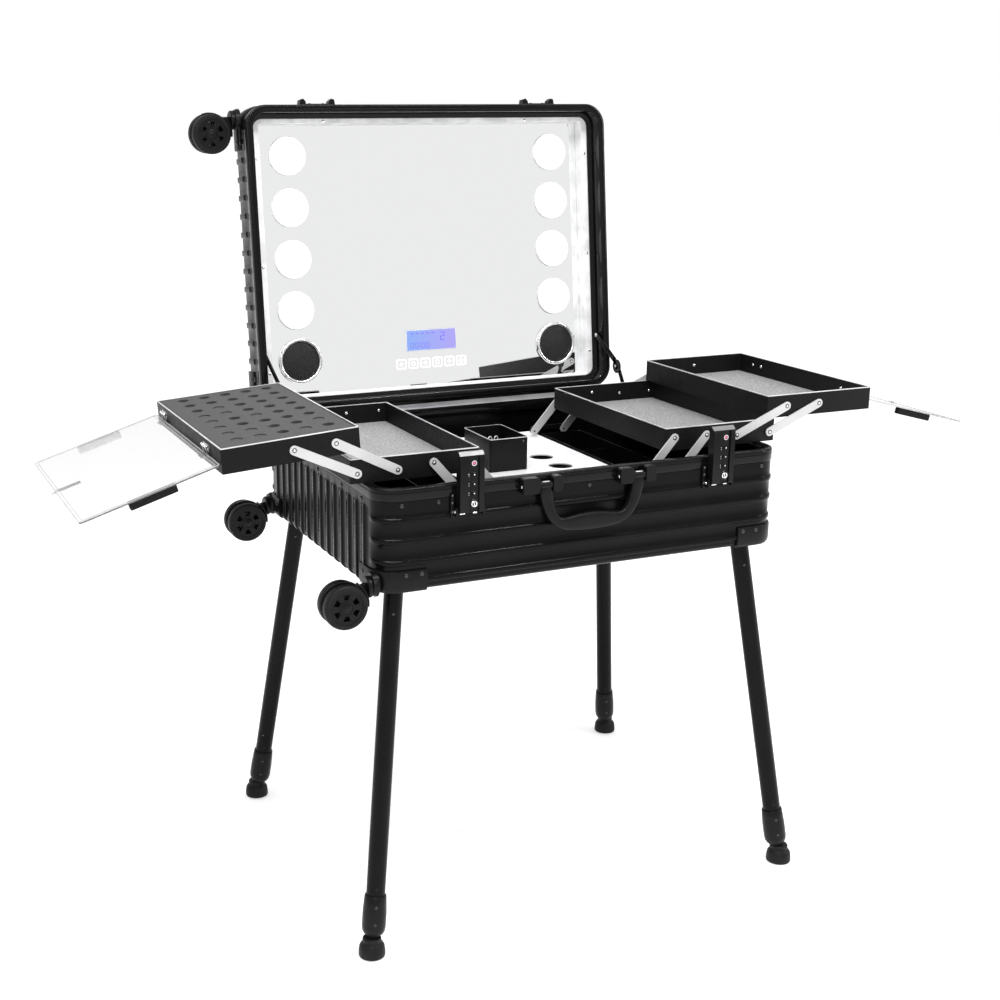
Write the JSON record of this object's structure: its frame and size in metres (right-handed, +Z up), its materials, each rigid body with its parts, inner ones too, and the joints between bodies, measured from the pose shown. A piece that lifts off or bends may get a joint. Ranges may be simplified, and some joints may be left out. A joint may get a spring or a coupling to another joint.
{
  "type": "makeup train case with legs",
  "caption": "Hard trolley case standing open on splayed legs, with a lit mirror in the lid, folding cantilever trays and clear tray covers.",
  "frame": {"origin": "centre of the whole object's footprint box, on the floor under the feet", "axes": "+X to the right along the case, away from the casters; +Y to the rear, towards the lid hinge; +Z up"},
  "size_m": [1.3746, 0.642, 1.1208],
  "materials": {
    "shell": "satin black moulded shell",
    "rim": "black anodised profile",
    "black_plastic": "satin black moulding",
    "leatherette": "black leather-grain covering",
    "silver_sheet": "bright satin sheet",
    "link_bar": "satin silver bar",
    "white_frame": "white satin moulding",
    "mirror": "silvered glass",
    "lamp": "lit frosted dome",
    "speaker": "black basket with bright ring",
    "display": "lit blue display",
    "foam": "black foam",
    "clear_acrylic": "clear acrylic sheet",
    "leg_tube": "black powder coat",
    "rubber": "black rubber"
  },
  "bodies": {
    "case": {"base_shell": "shell", "base_rim": "rim", "center_tray": "silver_sheet", "organizer_left": "black_plastic", "organizer_right": "black_plastic", "brush_box": "black_plastic", "handle_bracket_left": "black_plastic", "handle_bracket_right": "black_plastic", "leg_tube_front_left": "leg_tube", "leg_ferrule_front_left": "black_plastic", "leg_tube_front_right": "leg_tube", "leg_ferrule_front_right": "black_plastic", "leg_tube_rear_left": "leg_tube", "leg_ferrule_rear_left": "black_plastic", "leg_tube_rear_right": "leg_tube", "leg_ferrule_rear_right": "black_plastic"},
    "lid": {"lid_shell": "shell", "lid_rim": "rim", "mirror_frame": "white_frame", "mirror": "mirror", "lamp_board": "lamp", "speaker_left": "speaker", "speaker_right": "speaker", "control_panel": "display", "power_inlet": "black_plastic"},
    "stay_upper_left": {"stay_upper_left": "black_plastic"},
    "stay_lower_left": {"stay_lower_left": "black_plastic"},
    "stay_upper_right": {"stay_upper_right": "black_plastic"},
    "stay_lower_right": {"stay_lower_right": "black_plastic"},
    "link_left_lower_inner": {"link_left_lower_inner": "link_bar"},
    "link_left_lower_outer": {"link_left_lower_outer": "link_bar"},
    "link_left_upper_inner": {"link_left_upper_inner": "link_bar"},
    "link_left_upper_outer": {"link_left_upper_outer": "link_bar"},
    "tray_left_lower": {"tray_left_lower": "leatherette"},
    "tray_left_upper": {"tray_left_upper": "leatherette", "foam_insert": "foam"},
    "cover_left": {"cover_left": "clear_acrylic"},
    "link_right_lower_inner": {"link_right_lower_inner": "link_bar"},
    "link_right_lower_outer": {"link_right_lower_outer": "link_bar"},
    "link_right_upper_inner": {"link_right_upper_inner": "link_bar"},
    "link_right_upper_outer": {"link_right_upper_outer": "link_bar"},
    "tray_right_lower": {"tray_right_lower": "leatherette"},
    "tray_right_upper": {"tray_right_upper": "leatherette"},
    "cover_right": {"cover_right": "clear_acrylic"},
    "lock_lever_left": {"lock_lever_left": "black_plastic"},
    "lock_lever_right": {"lock_lever_right": "black_plastic"},
    "carry_handle": {"carry_handle": "black_plastic"},
    "trolley_handle": {"trolley_handle": "black_plastic"},
    "leg_inner_front_left": {"leg_foot_front_left": "rubber"},
    "leg_inner_front_right": {"leg_foot_front_right": "rubber"},
    "leg_inner_rear_left": {"leg_foot_rear_left": "rubber"},
    "leg_inner_rear_right": {"leg_foot_rear_right": "rubber"},
    "caster_fork_base_front": {"caster_fork_base_front": "black_plastic"},
    "caster_wheels_base_front": {"caster_wheels_base_front": "rubber"},
    "caster_fork_base_rear": {"caster_fork_base_rear": "black_plastic"},
    "caster_wheels_base_rear": {"caster_wheels_base_rear": "rubber"},
    "caster_fork_lid_front": {"caster_fork_lid_front": "black_plastic"},
    "caster_wheels_lid_front": {"caster_wheels_lid_front": "rubber"},
    "caster_fork_lid_rear": {"caster_fork_lid_rear": "black_plastic"},
    "caster_wheels_lid_rear": {"caster_wheels_lid_rear": "rubber"}
  },
  "joints": [
    {"name": "lid_hinge", "type": "hinge", "parent": "case", "child": "lid", "pos_m": [-0.00108, 0.20038, 0.641], "axis": [1, 0, 0], "range_deg": [0, 30]},
    {"name": "stay_upper_left_pivot", "type": "hinge", "parent": "lid", "child": "stay_upper_left", "pos_m": [-0.29568, 0.22937, 0.73221], "axis": [1, 0, 0], "range_deg": [-37.28, 0]},
    {"name": "stay_lower_left_pivot", "type": "hinge", "parent": "case", "child": "stay_lower_left", "pos_m": [-0.29818, 0.11838, 0.628], "axis": [1, 0, 0], "range_deg": [0, 44.19]},
    {"name": "stay_upper_right_pivot", "type": "hinge", "parent": "lid", "child": "stay_upper_right", "pos_m": [0.29352, 0.22937, 0.73221], "axis": [1, 0, 0], "range_deg": [-37.28, 0]},
    {"name": "stay_lower_right_pivot", "type": "hinge", "parent": "case", "child": "stay_lower_right", "pos_m": [0.29602, 0.11838, 0.628], "axis": [1, 0, 0], "range_deg": [0, 44.19]},
    {"name": "link_left_lower_inner_swing", "type": "hinge", "parent": "case", "child": "link_left_lower_inner", "pos_m": [-0.11248, -0.23012, 0.606], "axis": [0, 1, 0], "range_deg": [0, 84.4]},
    {"name": "link_left_lower_outer_swing", "type": "hinge", "parent": "case", "child": "link_left_lower_outer", "pos_m": [-0.16578, -0.23012, 0.606], "axis": [0, 1, 0], "range_deg": [0, 84.6]},
    {"name": "tray_left_lower_level", "type": "hinge", "parent": "link_left_lower_inner", "child": "tray_left_lower", "pos_m": [-0.16018, -0.23012, 0.66], "axis": [0, 1, 0], "range_deg": [-84.6, 0]},
    {"name": "link_left_upper_inner_swing", "type": "hinge", "parent": "tray_left_lower", "child": "link_left_upper_inner", "pos_m": [-0.26508, -0.23012, 0.655], "axis": [0, 1, 0], "range_deg": [0, 130.82]},
    {"name": "link_left_upper_outer_swing", "type": "hinge", "parent": "tray_left_lower", "child": "link_left_upper_outer", "pos_m": [-0.32158, -0.23012, 0.655], "axis": [0, 1, 0], "range_deg": [0, 133.54]},
    {"name": "tray_left_upper_level", "type": "hinge", "parent": "link_left_upper_inner", "child": "tray_left_upper", "pos_m": [-0.34988, -0.23012, 0.6981], "axis": [0, 1, 0], "range_deg": [-127.12, 0]},
    {"name": "cover_left_hinge", "type": "hinge", "parent": "tray_left_upper", "child": "cover_left", "pos_m": [-0.50416, -0.06412, 0.69479], "axis": [0, 1, 0], "range_deg": [0, 193.2]},
    {"name": "link_right_lower_inner_swing", "type": "hinge", "parent": "case", "child": "link_right_lower_inner", "pos_m": [0.11032, -0.23012, 0.606], "axis": [0, -1, 0], "range_deg": [0, 104.8]},
    {"name": "link_right_lower_outer_swing", "type": "hinge", "parent": "case", "child": "link_right_lower_outer", "pos_m": [0.16362, -0.23012, 0.606], "axis": [0, -1, 0], "range_deg": [0, 105]},
    {"name": "tray_right_lower_level", "type": "hinge", "parent": "link_right_lower_inner", "child": "tray_right_lower", "pos_m": [0.15802, -0.23012, 0.66], "axis": [0, -1, 0], "range_deg": [-105, 0]},
    {"name": "link_right_upper_inner_swing", "type": "hinge", "parent": "tray_right_lower", "child": "link_right_upper_inner", "pos_m": [0.26292, -0.23012, 0.655], "axis": [0, -1, 0], "range_deg": [0, 133.8]},
    {"name": "link_right_upper_outer_swing", "type": "hinge", "parent": "tray_right_lower", "child": "link_right_upper_outer", "pos_m": [0.31942, -0.23012, 0.655], "axis": [0, -1, 0], "range_deg": [0, 134.3]},
    {"name": "tray_right_upper_level", "type": "hinge", "parent": "link_right_upper_inner", "child": "tray_right_upper", "pos_m": [0.34742, -0.23012, 0.691], "axis": [0, -1, 0], "range_deg": [-134.3, 0]},
    {"name": "cover_right_hinge", "type": "hinge", "parent": "tray_right_upper", "child": "cover_right", "pos_m": [0.50152, -0.06412, 0.699], "axis": [0, -1, 0], "range_deg": [0, 195]},
    {"name": "lock_left_hinge", "type": "hinge", "parent": "case", "child": "lock_lever_left", "pos_m": [-0.18508, -0.27962, 0.604], "axis": [1, 0, 0], "range_deg": [0, 95]},
    {"name": "lock_right_hinge", "type": "hinge", "parent": "case", "child": "lock_lever_right", "pos_m": [0.20092, -0.27962, 0.604], "axis": [1, 0, 0], "range_deg": [0, 95]},
    {"name": "carry_handle_hinge", "type": "hinge", "parent": "case", "child": "carry_handle", "pos_m": [-0.00308, -0.28182, 0.628], "axis": [-1, 0, 0], "range_deg": [0, 100]},
    {"name": "trolley_handle_slide", "type": "slide", "parent": "case", "child": "trolley_handle", "axis": [1, 0, 0], "range_m": [0, 0.34]},
    {"name": "leg_front_left_extend", "type": "slide", "parent": "case", "child": "leg_inner_front_left", "axis": [-0.1194, -0.1294, -0.9844], "range_m": [0, 0.06]},
    {"name": "leg_front_right_extend", "type": "slide", "parent": "case", "child": "leg_inner_front_right", "axis": [0.1194, -0.1294, -0.9844], "range_m": [0, 0.06]},
    {"name": "leg_rear_left_extend", "type": "slide", "parent": "case", "child": "leg_inner_rear_left", "axis": [-0.1194, 0.1294, -0.9844], "range_m": [0, 0.06]},
    {"name": "leg_rear_right_extend", "type": "slide", "parent": "case", "child": "leg_inner_rear_right", "axis": [0.1194, 0.1294, -0.9844], "range_m": [0, 0.06]},
    {"name": "caster_base_front_swivel", "type": "hinge", "parent": "case", "child": "caster_fork_base_front", "pos_m": [-0.31008, -0.25762, 0.51], "axis": [1, 0, 0], "continuous": true},
    {"name": "caster_base_front_roll", "type": "hinge", "parent": "caster_fork_base_front", "child": "caster_wheels_base_front", "pos_m": [-0.35408, -0.25762, 0.49], "axis": [0, 1, 0], "continuous": true},
    {"name": "caster_base_rear_swivel", "type": "hinge", "parent": "case", "child": "caster_fork_base_rear", "pos_m": [-0.31008, 0.17438, 0.51], "axis": [1, 0, 0], "continuous": true},
    {"name": "caster_base_rear_roll", "type": "hinge", "parent": "caster_fork_base_rear", "child": "caster_wheels_base_rear", "pos_m": [-0.35408, 0.17438, 0.49], "axis": [0, 1, 0], "continuous": true},
    {"name": "caster_lid_front_swivel", "type": "hinge", "parent": "lid", "child": "caster_fork_lid_front", "pos_m": [-0.31008, 0.30319, 1.08999], "axis": [1, 0, 0], "continuous": true},
    {"name": "caster_lid_front_roll", "type": "hinge", "parent": "caster_fork_lid_front", "child": "caster_wheels_lid_front", "pos_m": [-0.35408, 0.30319, 1.06999], "axis": [0, 1, 0], "continuous": true},
    {"name": "caster_lid_rear_swivel", "type": "hinge", "parent": "lid", "child": "caster_fork_lid_rear", "pos_m": [-0.31008, 0.25211, 0.66102], "axis": [1, 0, 0], "continuous": true},
    {"name": "caster_lid_rear_roll", "type": "hinge", "parent": "caster_fork_lid_rear", "child": "caster_wheels_lid_rear", "pos_m": [-0.35408, 0.25211, 0.64102], "axis": [0, 1, 0], "continuous": true}
  ],
  "couplings": [
    {"joint": "stay_upper_left_pivot", "follows": "lid_hinge", "ratio": -1.2359},
    {"joint": "stay_lower_left_pivot", "follows": "lid_hinge", "ratio": 1.4664},
    {"joint": "stay_upper_right_pivot", "follows": "lid_hinge", "ratio": -1.2359},
    {"joint": "stay_lower_right_pivot", "follows": "lid_hinge", "ratio": 1.4664},
    {"joint": "link_left_lower_outer_swing", "follows": "link_left_lower_inner_swing", "ratio": 1},
    {"joint": "tray_left_lower_level", "follows": "link_left_lower_inner_swing", "ratio": -1},
    {"joint": "link_left_upper_outer_swing", "follows": "link_left_upper_inner_swing", "ratio": 1.017},
    {"joint": "tray_left_upper_level", "follows": "link_left_upper_inner_swing", "ratio": -0.9679},
    {"joint": "link_right_lower_outer_swing", "follows": "link_right_lower_inner_swing", "ratio": 1},
    {"joint": "tray_right_lower_level", "follows": "link_right_lower_inner_swing", "ratio": -1},
    {"joint": "link_right_upper_outer_swing", "follows": "link_right_upper_inner_swing", "ratio": 1},
    {"joint": "tray_right_upper_level", "follows": "link_right_upper_inner_swing", "ratio": -1}
  ]
}
